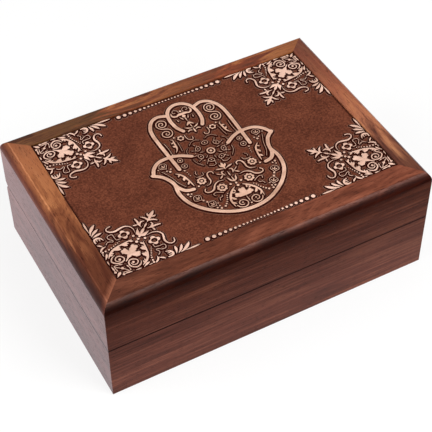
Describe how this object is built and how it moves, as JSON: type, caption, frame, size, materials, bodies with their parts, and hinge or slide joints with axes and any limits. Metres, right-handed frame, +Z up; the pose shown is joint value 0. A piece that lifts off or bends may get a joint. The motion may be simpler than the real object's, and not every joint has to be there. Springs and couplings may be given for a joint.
{
  "type": "keepsake box",
  "caption": "Hinged rectangular wooden keepsake box with mitred walls, moulded top rails and a carved panel with an open-hand relief set into the lid.",
  "frame": {"origin": "middle of the flat underside", "axes": "+X along the long front towards the right seen from the front, -Y towards the front, +Z up"},
  "size_m": [0.178, 0.125, 0.066],
  "materials": {
    "wall_wood": "satin",
    "rail_wood": "satin",
    "panel_wood": "satin",
    "board_wood": "matte",
    "hinge_brass": "satin"
  },
  "bodies": {
    "base": {"base_front_wall": "wall_wood", "base_back_wall": "wall_wood", "base_left_wall": "wall_wood", "base_right_wall": "wall_wood", "base_bottom_panel": "board_wood", "left_hinge_base_leaf": "hinge_brass", "right_hinge_base_leaf": "hinge_brass", "left_hinge_pin": "hinge_brass", "right_hinge_pin": "hinge_brass", "base_hinge_screws": "hinge_brass"},
    "lid": {"lid_front_wall": "wall_wood", "lid_back_wall": "wall_wood", "lid_left_wall": "wall_wood", "lid_right_wall": "wall_wood", "top_rail_front": "rail_wood", "top_rail_back": "rail_wood", "top_rail_left": "rail_wood", "top_rail_right": "rail_wood", "top_panel": "panel_wood", "left_hinge_lid_leaf": "hinge_brass", "right_hinge_lid_leaf": "hinge_brass", "lid_hinge_screws": "hinge_brass"}
  },
  "joints": [
    {"name": "lid_hinge", "type": "hinge", "parent": "base", "child": "lid", "pos_m": [0, 0.0607, 0.03415], "axis": [-1, 0, 0], "range_deg": [0, 100]}
  ]
}
